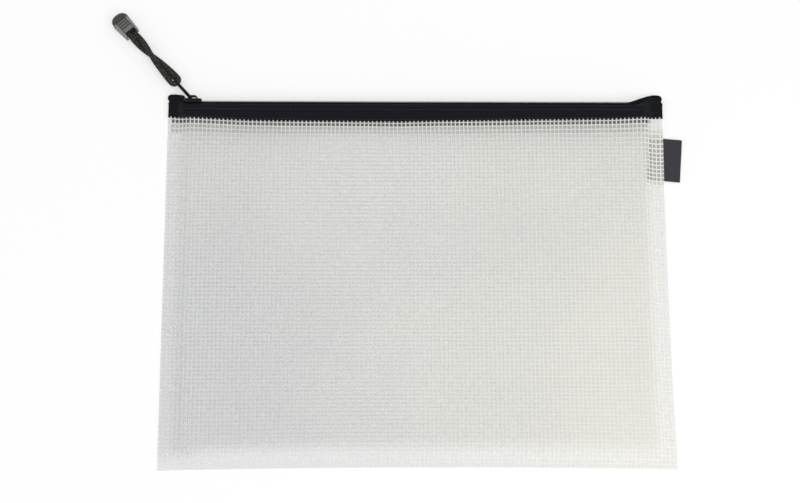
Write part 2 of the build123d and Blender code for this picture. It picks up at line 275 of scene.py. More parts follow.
def add_grid(name: str, columns: int, rows: int) -> Object:
    """Adds a flat grid over the unit square, for a sheet that is then shaped.

    Args:
        name: Name of the piece.
        columns: Squares along X.
        rows: Squares along Y.

    Returns:
        The grid, with X and Y from 0 to 1 and a UV map.
    """
    bpy.ops.object.select_all(action="DESELECT")
    bpy.ops.mesh.primitive_grid_add(x_subdivisions=columns, y_subdivisions=rows, size=1, location=(0, 0, 0))
    piece = bpy.context.active_object
    piece.name = name
    piece.data.name = name
    set_points(piece, points_of(piece) + np.array([0.5, 0.5, 0.0]))
    return piece


def smooth_shade(piece: Object, angle: float = 40.0) -> None:
    """Shades a piece smooth except over edges sharper than an angle in degrees."""
    select_only(piece)
    bpy.ops.object.shade_smooth_by_angle(angle=math.radians(angle))


def dress(piece: Object, material: Material, body: str) -> None:
    """Gives a finished piece its material and lets it ride on a body.

    Args:
        piece: The finished piece.
        material: Its finish.
        body: The body that carries it.
    """
    piece.data.materials.clear()
    piece.data.materials.append(material)
    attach(piece, body)
    LOG.info("piece %s: %d faces, on %s", piece.name, len(piece.data.polygons), body)


def edit_edges(piece: Object, wanted: Callable[[Vector, Vector], bool]) -> None:
    """Opens a piece in edit mode with only some of its edges selected.

    Args:
        piece: The mesh piece.
        wanted: Test that takes the two end points of an edge.
    """
    select_only(piece)
    bpy.ops.object.mode_set(mode="EDIT")
    bpy.ops.mesh.select_mode(type="EDGE")
    bpy.ops.mesh.select_all(action="DESELECT")
    bpy.ops.object.mode_set(mode="OBJECT")
    mesh = piece.data
    for edge in mesh.edges:
        a, b = (mesh.vertices[i].co for i in edge.vertices)
        edge.select = bool(wanted(a, b))
    bpy.ops.object.mode_set(mode="EDIT")


def link(name: str, data: ID) -> Object:
    """Adds an object with some data to the scene."""
    thing = bpy.data.objects.new(name, data)
    bpy.context.scene.collection.objects.link(thing)
    return thing


@contextmanager
def whole_mesh(piece: Object) -> Iterator[None]:
    """Edit mode with the whole mesh of a piece selected."""
    select_only(piece)
    bpy.ops.object.mode_set(mode="EDIT")
    bpy.ops.mesh.select_all(action="SELECT")
    yield
    bpy.ops.object.mode_set(mode="OBJECT")


def face_out(piece: Object) -> None:
    """Points all faces of a closed piece outwards."""
    with whole_mesh(piece):
        bpy.ops.mesh.normals_make_consistent(inside=False)


def repeat(piece: Object, count: int, step: tuple[float, float, float]) -> None:
    """Arrays a piece by a constant step."""
    apply_modifier(
        piece,
        "ARRAY",
        count=count,
        use_relative_offset=False,
        use_constant_offset=True,
        constant_offset_displace=step,
    )


def round_edges(piece: Object, width: float, segments: int, degrees: float) -> None:
    """Rounds the edges of a piece that are sharper than an angle."""
    angle = math.radians(degrees)
    apply_modifier(piece, "BEVEL", width=width, segments=segments, limit_method="ANGLE", angle_limit=angle)


def add_rod(name: str, sides: int, cuts: int) -> Object:
    """Adds a rod along X of unit length and radius, for a coil's end that is then shaped.

    Args:
        name: Name of the piece.
        sides: Corners of its section.
        cuts: Cuts along it.

    Returns:
        The rod.
    """
    bpy.ops.object.select_all(action="DESELECT")
    bpy.ops.mesh.primitive_cylinder_add(vertices=sides, radius=1, depth=1, rotation=(0, math.pi / 2, 0))
    bpy.ops.object.transform_apply(location=False, rotation=True, scale=False)
    piece = bpy.context.active_object
    piece.name = name
    edit_edges(piece, lambda a, b: abs(a.x - b.x) > 0.5)
    bpy.ops.mesh.subdivide(number_cuts=cuts)
    bpy.ops.object.mode_set(mode="OBJECT")
    return piece


def copy_of_node(node: Object, name: str) -> Object:
    """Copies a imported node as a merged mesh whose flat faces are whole.

    Args:
        node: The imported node.
        name: Name of the copy.

    Returns:
        The copy, with its own mesh and no parent.
    """
    mesh = node.data.copy()
    mesh.name = name
    piece = link(name, mesh)
    with whole_mesh(piece):
        bpy.ops.mesh.remove_doubles(threshold=1e-6)
        bpy.ops.mesh.dissolve_limited(angle_limit=math.radians(1.0))
        bpy.ops.mesh.normals_make_consistent(inside=False)
    return piece


def scale_uv(piece: Object, width: float, height: float) -> None:
    """Stretches the unit UV map of a piece to its flat size in metres.

    Args:
        piece: Piece made from a unit grid.
        width: Flat length along U.
        height: Flat length along V.
    """
    layer = piece.data.uv_layers[0]
    uv = np.zeros(len(layer.uv) * 2)
    layer.uv.foreach_get("vector", uv)
    uv = uv.reshape(-1, 2) * np.array([width, height])
    layer.uv.foreach_set("vector", uv.astype(np.float32).ravel())


def painted_warm_light_share(tree: NodeTree, place: NodeSocket, drift: float) -> NodeSocket:
    """Share of painted warm light on the sheet: a painted tint of cool light at the upper left and warm
    light gathering towards the lower right.

    Args:
        tree: Node tree of the finish.
        place: Object coordinates.
        drift: Size of the slow clouds in it, in metres.

    Returns:
        Socket with 0 where the painted light is cool and 1 where it is warm.
    """
    axes = add_node(tree, "ShaderNodeSeparateXYZ", {0: place})
    lean = ramp(tree, axes.outputs["X"], -0.12, 0.16, -0.7, 1.3)
    drop = ramp(tree, axes.outputs["Y"], 0.12, -0.12, 0.12, 0.5)
    patchy = maths(tree, "MULTIPLY", noise(tree, place, drift, 2.0), 0.5)
    return maths(tree, "ADD", maths(tree, "MULTIPLY", lean, drop), patchy, clamp=True)


@dataclass(frozen=True)
class FilmFinish:
    """Milky calendered vinyl film: soft gloss, hazy, with whatever is close behind it showing through."""

    # cool and warm: painted tints of cool and warm light on the film
    cool: str = "#D1D3D3"
    warm: str = "#F4EFDF"
    haze_cool: float = 0.1296
    haze_warm: float = 0.054
    haze_border: float = 0.06
    haze_tab: float = 0.36
    drift: float = 90 * MM
    grain: float = 1.4 * MM
    relief: float = 0.05 * MM
    strength: float = 0.12
    roughness: float = 0.34
    weld_roughness: float = 0.2
    ior: float = 1.53

    def make(self) -> Material:
        """Builds the material.

        Returns:
            Film whose haze drifts over a hand's breadth, clearer and shinier where it is welded, with
            painted cool and warm light in its colour.
        """
        material, tree = new_material("milky_vinyl_film")
        place = coordinates(tree, "Object")
        # painted light: the film's colour is tinted cool to warm by position, and the same share also thins
        # its haze
        painted_warmth = painted_warm_light_share(tree, place, self.drift)
        field = ramp(tree, painted_warmth, 0.0, 1.0, self.haze_cool, self.haze_warm)
        clear = blend(tree, attribute(tree, "border"), field, self.haze_border)
        grain = noise(tree, place, self.grain)
        close_surface(
            tree,
            {
                "Base Color": tint(tree, painted_warmth, self.cool, self.warm),
                "Alpha": blend(tree, attribute(tree, "tab"), clear, self.haze_tab),
                "Roughness": blend(tree, attribute(tree, "weld"), self.roughness, self.weld_roughness),
                "IOR": self.ior,
                "Normal": bumps(tree, grain, self.strength, self.relief),
            },
        )
        return material


@dataclass(frozen=True)
class YarnFinish:
    """Coated polyester yarn of the grid inside the film: a shade lighter than the film, matt and uneven,
    with painted light that whitens it towards the welded edges and tints it cool to warm.
    """

    cool: str = "#D1D2D1"
    warm: str = "#E6E4DB"
    pale_and_lit_white: str = "#FFFFFF"
    pale: float = 0.06
    painted_border_light: float = 0.37
    drift: float = 90 * MM
    fibre: float = 0.5 * MM
    relief: float = 0.06 * MM
    strength: float = 0.3
    unevenness: float = 25 * MM
    roughness: float = 0.6
    ior: float = 1.5
    specular: float = 0.25

    def make(self) -> Material:
        """Builds the material.

        Returns:
            Yarn with a twisted fibre relief, slow random changes of brightness and painted light that makes
            it whiter towards the welded edges.
        """
        material, tree = new_material("coated_polyester_yarn")
        place = coordinates(tree, "Object")
        cloud = noise(tree, place, self.unevenness, 2.0)
        # painted light: the yarn takes the same cool-to-warm tint as the film
        coat = tint(tree, painted_warm_light_share(tree, place, self.drift), self.cool, self.warm)
        # painted light: the yarn is whitened towards the welded edges, where the sheets lie in less shade
        painted_border_light = maths(tree, "MULTIPLY", attribute(tree, "border"), self.painted_border_light)
        white = maths(tree, "MULTIPLY_ADD", cloud, self.pale, painted_border_light, clamp=True)
        twist = bands(tree, place, self.fibre, "DIAGONAL", 1.0)
        close_surface(
            tree,
            {
                "Base Color": tint(tree, white, coat, self.pale_and_lit_white),
                "Roughness": self.roughness,
                "IOR": self.ior,
                "Specular IOR Level": self.specular,
                "Normal": bumps(tree, twist, self.strength, self.relief),
            },
        )
        return material


@dataclass(frozen=True)
class ClothFinish:
    """Woven polyester narrow fabric: two crossing sets of threads, dull, with a faint sheen."""

    name: str
    ground: str
    raised: str
    warp: float = 0.7 * MM
    weft: float = 0.95 * MM
    wobble: float = 0.4
    wobble_scale: float = 2.0
    roughness: float = 0.82
    gloss: float = 0.12
    relief: float = 0.12 * MM
    strength: float = 0.7
    patch: float = 18 * MM
    ior: float = 1.5
    specular: float = 0.2
    sheen: float = 0.03
    sheen_roughness: float = 0.5
    shade_fade: float = 0.0
    shade_fade_cover: float = 0.06

    def cover(self, tree: NodeTree, cloth: NodeSocket) -> NodeSocket:
        """How much of the cloth is left: whole, but thinning out towards one edge as painted shade that
        fades away.

        Args:
            tree: Node tree of the finish.
            cloth: UV coordinates in metres, with the fading edge at V of 0.

        Returns:
            Socket with the share that is covered.
        """
        across = add_node(tree, "ShaderNodeSeparateXYZ", {0: cloth}).outputs["Y"]
        # painted shade: the dark cloth thins away over the fading width, standing in for shade seen ever
        # more faintly through the film
        threads = ramp(tree, across, 0.0, self.shade_fade, 0.0, self.shade_fade_cover)
        whole = maths(tree, "GREATER_THAN", across, self.shade_fade)
        return maths(tree, "MAXIMUM", threads, whole)

    def make(self) -> Material:
        """Builds the material on the piece's own UV map, which is in metres.

        Returns:
            Cloth whose threads are drawn a little coarser than real, so that they show.
        """
        material, tree = new_material(self.name)
        cloth = coordinates(tree, "UV")
        warp = bands(tree, cloth, self.warp, "Y", self.wobble, self.wobble_scale)
        weft = bands(tree, cloth, self.weft, "X", self.wobble, self.wobble_scale)
        weave = maths(tree, "MULTIPLY", warp, weft)
        lit = maths(tree, "MULTIPLY", weave, noise(tree, cloth, self.patch), clamp=True)
        close_surface(
            tree,
            {
                "Base Color": tint(tree, lit, self.ground, self.raised),
                "Roughness": ramp(tree, weave, 0.0, 1.0, self.roughness, self.roughness - self.gloss),
                "IOR": self.ior,
                "Normal": bumps(tree, weave, self.strength, self.relief),
                "Specular IOR Level": self.specular,
                "Sheen Weight": self.sheen,
                "Sheen Roughness": self.sheen_roughness,
                "Alpha": self.cover(tree, cloth) if self.shade_fade else 1.0,
            },
        )
        return material


@dataclass(frozen=True)
class MouldedFinish:
    """A moulded, cast or extruded surface: one colour with fine grain, slow mottling and a plain gloss."""

    name: str
    colour: str
    mottle: str
    roughness: float
    grain: float
    relief: float
    uneven: float = 0.06
    patch: float = 6 * MM
    patch_low: float = 0.0
    patch_high: float = 1.0
    strength: float = 0.25
    ior: float = 1.5
    specular: float = 0.3

    def make(self) -> Material:
        """Builds the material on Object coordinates.

        Returns:
            The finish, with its grain in the relief and in the roughness.
        """
        material, tree = new_material(self.name)
        place = coordinates(tree, "Object")
        grain = noise(tree, place, self.grain)
        fleck = ramp(tree, noise(tree, place, self.patch, 2.0), self.patch_low, self.patch_high)
        close_surface(
            tree,
            {
                "Base Color": tint(tree, fleck, self.colour, self.mottle),
                "Roughness": ramp(
                    tree, grain, 0.25, 0.75, self.roughness - self.uneven, self.roughness + self.uneven
                ),
                "IOR": self.ior,
                "Specular IOR Level": self.specular,
                "Normal": bumps(tree, grain, self.strength, self.relief),
            },
        )
        return material


@dataclass(frozen=True)
class GripFinish:
    """Moulded grip: a dull grooved pad with painted shade in its grooves, painted highlights on the side
    rims and painted shade on the smooth far dome.
    """

    frame: Matrix
    far: float
    pad: str = "#6E6E6D"
    # the groove and dome colours are painted shade, the rim colour a painted highlight
    groove_shade: str = "#4C4C4B"
    rim: str = "#868684"
    dome: str = "#3C3C3B"
    pad_half: float = 3.7 * MM
    rim_fade: float = 0.7 * MM
    groove_floor: float = 3.3 * MM
    groove_lip: float = 3.6 * MM
    dome_start: float = 7.4 * MM
    dome_fade: float = 2.4 * MM
    grain: float = 0.45 * MM
    relief: float = 0.05 * MM
    strength: float = 0.4
    smoothest: float = 0.52
    roughest: float = 0.66
    ior: float = 1.5
    specular: float = 0.3

    def make(self) -> Material:
        """Builds the material in the pull's own frame.

        Returns:
            Soft plastic whose tone changes from the pad to the rims and the dome: painted shade in the
            grooves and on the dome, painted highlights on the rims.
        """
        material, tree = new_material("moulded_soft_grip")
        place = coordinates(tree, "Object")
        turned = add_node(
            tree,
            "ShaderNodeMapping",
            {"Vector": place, "Location": self.frame.translation, "Rotation": self.frame.to_euler()},
            vector_type="TEXTURE",
        ).outputs[0]
        axes = add_node(tree, "ShaderNodeSeparateXYZ", {0: turned}).outputs
        grain = noise(tree, place, self.grain)
        away = maths(tree, "ABSOLUTE", axes["Y"])
        side = ramp(tree, away, self.pad_half, self.pad_half + self.rim_fade)
        edge = self.far - self.dome_start
        # painted shade: the far dome is darker, as if turned away from the light
        painted_dome_shade = ramp(tree, axes["X"], edge, edge + self.dome_fade)
        # painted highlight: the side rims are paler, broken up by the grain
        painted_rim_highlight = maths(tree, "MULTIPLY", side, ramp(tree, grain, 0.3, 0.7, 0.75, 1.0))
        # painted shade: the floors of the grooves are darker than the pad
        ridge = ramp(tree, maths(tree, "ABSOLUTE", axes["Z"]), self.groove_floor, self.groove_lip)
        flank = tint(tree, painted_rim_highlight, tint(tree, ridge, self.groove_shade, self.pad), self.rim)
        close_surface(
            tree,
            {
                "Base Color": tint(tree, painted_dome_shade, flank, self.dome),
                "Roughness": ramp(tree, grain, 0.25, 0.75, self.smoothest, self.roughest),
                "IOR": self.ior,
                "Specular IOR Level": self.specular,
                "Normal": bumps(tree, grain, self.strength, self.relief),
            },
        )
        return material


@dataclass(frozen=True)
class PaperFloorFinish:
    """Matt white paper floor: white to the eye, with a trace of the shadow that the object throws."""

    paper: str = "#FBFBFB"
    lift: float = 0.5

    def make(self) -> Material:
        """Builds the material.

        Returns:
            White paper, lifted towards plain white for the eye and in gloss.
        """
        material, tree = new_material("white_paper_floor")
        paper = add_node(tree, "ShaderNodeBsdfDiffuse", {"Color": linear(self.paper)}).outputs[0]
        white = add_node(tree, "ShaderNodeEmission", {"Color": (1, 1, 1, 1), "Strength": 1.0}).outputs[0]
        path = add_node(tree, "ShaderNodeLightPath").outputs
        gloss = maths(tree, "MAXIMUM", path["Is Glossy Ray"], path["Is Transmission Ray"])
        seen = maths(tree, "MAXIMUM", path["Is Camera Ray"], gloss)
        share = maths(tree, "MULTIPLY", seen, self.lift)
        mixed = add_node(tree, "ShaderNodeMixShader", {0: share, 1: paper, 2: white})
        close_material(tree, mixed.outputs[0])
        return material


@dataclass
class FilmBody:
    """The two welded film sheets and the yarn grids inside them."""

    half_width: float = 170 * MM
    bottom: float = -125 * MM
    top: float = 120.7 * MM
    film: float = 0.4 * MM
    weld_z: float = 1.0 * MM
    field_z: float = 9.25 * MM
    seam: float = 5 * MM
    climb: float = 12 * MM
    rim: float = 0.1 * MM
    rim_half: float = 0.9 * MM
    joggle: float = 0.65 * MM
    joggle_foot: float = 104.9 * MM
    joggle_top: float = 108.9 * MM
    ripple: float = 0.28 * MM
    ripples: tuple[tuple[float, ...], ...] = (
        (0.5, 31, 47, 0.6),
        (0.4, 19, -29, 2.1),
        (0.35, 71, 23, 4.0),
        (0.2, 11, 15, 1.0),
    )
    crease: float = 0.45 * MM
    upright_crease: float = 0.4 * MM
    bow_low: float = 88 * MM
    bow_full: float = 111 * MM
    bow_high: float = 112.5 * MM
    hollow: float = 1.7 * MM
    hollow_start: float = -20 * MM
    label_y: float = 85.5 * MM
    label_half: float = 16.5 * MM
    label_lift: float = 0.8 * MM
    tab_start: float = 155 * MM
    tab_full: float = 163 * MM
    tab_spare: float = 2 * MM
    tab_fade: float = 3 * MM
    columns: int = 212
    rows: int = 154
    pitch: float = 2.82 * MM
    yarn: float = 0.8 * MM
    yarn_rise: float = 0.14 * MM
    yarn_sink: float = 0.16 * MM
    yarn_cuts: int = 76
    grid_drop: float = 1.15 * MM
    edge_rows: tuple[float, ...] = (109.0 * MM, 109.75 * MM, 110.5 * MM, 111.2 * MM)
    edge_lift: float = 0.8 * MM
    left_border_cut: float = 0.75

    def step(self, y: np.ndarray) -> np.ndarray:
        """Height that the sheets gain where they lie over the rear tape."""
        return self.joggle * smooth(self.joggle_foot, self.joggle_top, y)

    def tape_bow(self, x: np.ndarray) -> np.ndarray:
        """How far the sewn edge, and the yarns beside it, bow up towards the ends of the zip."""
        at = [-170, -163, -155, -114, -80, -11, 17, 58, 86, 134, 153, 163, 170]
        lift = [4.9, 3.8, 1.9, 0.0, -0.6, -0.9, -0.2, 0.3, 0.9, 1.6, 2.5, 4.3, 5.0]
        return np.interp(x / MM, at, lift) * MM

    def margin(self, x: np.ndarray, y: np.ndarray) -> np.ndarray:
        """Distance in from the three welded edges, rounded at the two bottom corners.

        Args:
            x: Positions along the zip.
            y: Positions from bottom to top.

        Returns:
            Distance from the nearest welded edge.
        """
        side = self.half_width - np.abs(x)
        base = y - self.bottom
        reach = self.seam + self.climb
        a = np.clip(reach - side, 0, None)
        b = np.clip(reach - base, 0, None)
        return reach - np.minimum(np.hypot(a, b), reach) + np.clip(np.minimum(side, base) - reach, 0, None)

    def relief(self, x: np.ndarray, y: np.ndarray) -> np.ndarray:
        """Slow ripples and two soft creases of the front sheet, in metres."""
        u, v = x / MM, y / MM
        waves = sum(size * np.sin(u / a + v / b + start) for size, a, b, start in self.ripples)
        line = v + 105.5 + 1.2 * np.sin(u / 26)
        along = np.clip(1.2 - np.abs(u - 60) / 110, 0, 1)
        crease = along * np.exp(-((line / 1.9) ** 2))
        upright = np.exp(-(((u - 147.5 - v / 60) / 1.8) ** 2)) * np.exp(-(((v + 76) / 17) ** 2))
        return self.ripple * waves + self.crease * crease + self.upright_crease * upright

    def over_tab(self, x: np.ndarray, y: np.ndarray) -> np.ndarray:
        """How far the sheet lies over the tucked end of the label, 0 to 1."""
        inside = self.label_half + self.tab_spare - np.abs(y - self.label_y)
        return smooth(0, self.tab_fade, inside) * smooth(self.tab_start, self.tab_full, x)

    def front_height(self, x: np.ndarray, y: np.ndarray) -> np.ndarray:
        """Outer face of the front sheet.

        Args:
            x: Positions along the zip.
            y: Positions from bottom to top.

        Returns:
            Height of the outer face at each position.
        """
        inset = self.margin(x, y)
        share = smooth(self.seam, self.seam + self.climb, inset)
        flat = self.weld_z + self.step(y)
        rim = self.rim * np.exp(-(((inset - self.seam) / self.rim_half) ** 2))
        tab = self.label_lift * self.over_tab(x, y) * (1 - share)
        return flat + (self.field_z - flat) * share + self.relief(x, y) * share + rim + tab

    def rear_height(self, x: np.ndarray, y: np.ndarray) -> np.ndarray:
        """Upper face of the rear sheet, which lies on the floor and on the rear tape."""
        return self.film + self.step(y) + 0 * x

    def height(self, face: Face, x: np.ndarray, y: np.ndarray) -> np.ndarray:
        """Upper face of either sheet."""
        return self.front_height(x, y) if face is Face.FRONT else self.rear_height(x, y)

    def edge_wave(self, x: np.ndarray, y: np.ndarray) -> np.ndarray:
        """How far the right edge, and the film beside it, stands out from the straight cut."""
        at = [-125, -70, -4, 63, 116, 121]
        out = [1.0, -0.1, -0.3, -0.4, 0.6, 0.6]
        return smooth(60 * MM, self.half_width, x) * np.interp(y / MM, at, out) * MM

    def outline(self, x: np.ndarray, y: np.ndarray) -> tuple[np.ndarray, np.ndarray]:
        """Draws the sheet's straight cut into its slightly bowed real edges.

        Args:
            x: Positions on the straight cut.
            y: Positions on the straight cut.

        Returns:
            The same positions with the bottom edge hollow, the right edge waved and the rows beside the
            tape bowed as it is.
        """
        bow = smooth(self.bow_low, self.bow_full, y) * (1 - smooth(self.bow_high, self.top, y))
        low = smooth(self.hollow_start, self.bottom, y)
        hollow = self.hollow * (1 - (x / self.half_width) ** 2)
        return x + self.edge_wave(x, y), y + low * hollow + bow * self.tape_bow(x)

    def mark_border(self, piece: Object, x: np.ndarray, y: np.ndarray) -> None:
        """Notes on each vertex how far it lies in the weld and in the border round it, where the film is
        clearer and the yarn is whitened with painted light.

        Args:
            piece: Sheet or grid.
            x: Positions of its vertices on the straight cut.
            y: Positions of its vertices on the straight cut.
        """
        inset = self.margin(x, y)
        weld = 1 - smooth(self.seam - 0.8 * MM, self.seam + 0.6 * MM, inset)
        reach = self.seam + self.climb
        left = (1 - smooth(reach, 2 * reach, x + self.half_width)) * smooth(0, reach, y - self.bottom)
        # the border, where the film clears and the yarn gets painted light, is cut back along the left side
        border = (1 - smooth(self.seam + 2 * MM, reach + 2 * MM, inset)) * (1 - self.left_border_cut * left)
        for name, share in (("weld", weld), ("border", border), ("tab", self.over_tab(x, y))):
            mark = piece.data.attributes.new(name, "FLOAT", "POINT")
            mark.data.foreach_set("value", share.astype(np.float32))

    def build_film(self, face: Face, material: Material) -> Object:
        """Makes one film sheet.

        Args:
            face: Which sheet.
            material: The film's finish.

        Returns:
            The finished piece, which stands for its packed panel.
        """
        piece = add_grid(f"{face.value}_film", self.columns, self.rows)
        unit = points_of(piece)
        x = (unit[:, 0] * 2 - 1) * self.half_width
        y = self.bottom + unit[:, 1] * (self.top - self.bottom)
        self.mark_border(piece, x, y)
        z = self.height(face, x, y)
        x, y = self.outline(x, y)
        set_points(piece, np.stack([x, y, z], axis=1))
        apply_modifier(piece, "SOLIDIFY", thickness=self.film, offset=-1.0)
        smooth_shade(piece)
        dress(piece, material, "wallet")
        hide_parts("front_panel" if face is Face.FRONT else "back_panel")
        return piece

    def over_edge(self, points: np.ndarray) -> np.ndarray:
        """Bends the upright yarns up over the tape's sewn edge, where their ends show as a row of ticks.

        Args:
            points: Vertices of the upright yarns.

        Returns:
            The vertices, with their last rows gathered at the tape's edge and lifted over it.
        """
        row = (self.top - self.bottom) / (self.yarn_cuts + 1)
        rows = self.top - row * np.arange(5, -1, -1)
        gathered = [self.bottom, rows[0], *self.edge_rows, self.top]
        points[:, 1] = np.interp(points[:, 1], [self.bottom, *rows], gathered)
        points[:, 2] += self.edge_lift * np.interp(points[:, 1], self.edge_rows, [0, 1, 1, 0])
        return points

    def yarn_set(self, face: Face, run: Run) -> Object:
        """Models one yarn with rounded shoulders and repeats it over the sheet.

        Args:
            face: Which sheet.
            run: Direction of the yarns.

        Returns:
            All yarns of that direction, flat, with their middle at height 0.
        """
        length = 2 * self.half_width if run is Run.ALONG else self.top - self.bottom
        span = self.top - self.bottom if run is Run.ALONG else 2 * self.half_width
        count = int(span / self.pitch)
        first = -(count - 1) / 2 * self.pitch
        bpy.ops.object.select_all(action="DESELECT")
        bpy.ops.mesh.primitive_cube_add(size=1, location=(0, 0, 0))
        piece = bpy.context.active_object
        piece.scale = (length, self.yarn, self.yarn_rise + self.yarn_sink)
        bpy.ops.object.transform_apply(location=False, rotation=False, scale=True)
        edit_edges(piece, lambda a, b: abs(a.x - b.x) > length / 2 and a.z > 0)
        bpy.ops.mesh.bevel(offset=self.yarn * 0.3, segments=1, affect="EDGES")
        bpy.ops.mesh.select_mode(type="FACE")
        bpy.ops.mesh.select_all(action="DESELECT")
        bpy.ops.object.mode_set(mode="OBJECT")
        for side in piece.data.polygons:
            side.select = side.normal.z < 0.2
        bpy.ops.object.mode_set(mode="EDIT")
        bpy.ops.mesh.delete(type="FACE")
        bpy.ops.object.mode_set(mode="OBJECT")
        edit_edges(piece, lambda a, b: abs(a.x - b.x) > length / 2)
        bpy.ops.mesh.subdivide(number_cuts=self.yarn_cuts)
        bpy.ops.object.mode_set(mode="OBJECT")
        set_points(piece, points_of(piece) + np.array([0, first, (self.yarn_rise - self.yarn_sink) / 2]))
        repeat(piece, count, (0, self.pitch, 0))
        points = points_of(piece)
        if run is Run.ACROSS:
            points = points[:, [1, 0, 2]] * np.array([-1, 1, 1])
        points[:, 1] += (self.top + self.bottom) / 2
        if run is Run.ALONG:
            points[:, 1] -= self.grid_drop
        elif face is Face.FRONT:
            points = self.over_edge(points)
        set_points(piece, points)
        return piece

    def build_scrim(self, face: Face, material: Material) -> Object:
        """Makes the yarn grid of one sheet.

        Args:
            face: Which sheet.
            material: The yarn's finish.

        Returns:
            The grid, laid on the sheet and standing a little proud of it.
        """
        sets = [self.yarn_set(face, run) for run in Run]
        bpy.ops.object.select_all(action="DESELECT")
        for part in sets:
            part.select_set(True)
        bpy.context.view_layer.objects.active = sets[0]
        bpy.ops.object.join()
        piece = sets[0]
        piece.name = f"{face.value}_yarn_grid"
        points = points_of(piece)
        x, y = points[:, 0], points[:, 1]
        self.mark_border(piece, x, y)
        z = points[:, 2] + self.height(face, x, y)
        x, y = self.outline(x, y)
        set_points(piece, np.stack([x, y, z], axis=1))
        smooth_shade(piece, 60)
        # Real yarn lets light through sideways, so it throws no hard lines on what lies below
        piece.visible_shadow = False
        piece.visible_diffuse = False
        dress(piece, material, "wallet")
        return piece

    def build(self) -> None:
        film = FilmFinish().make()
        yarn = YarnFinish().make()
        for face in Face:
            sheet = self.build_film(face, film)
            grid = self.build_scrim(face, yarn)


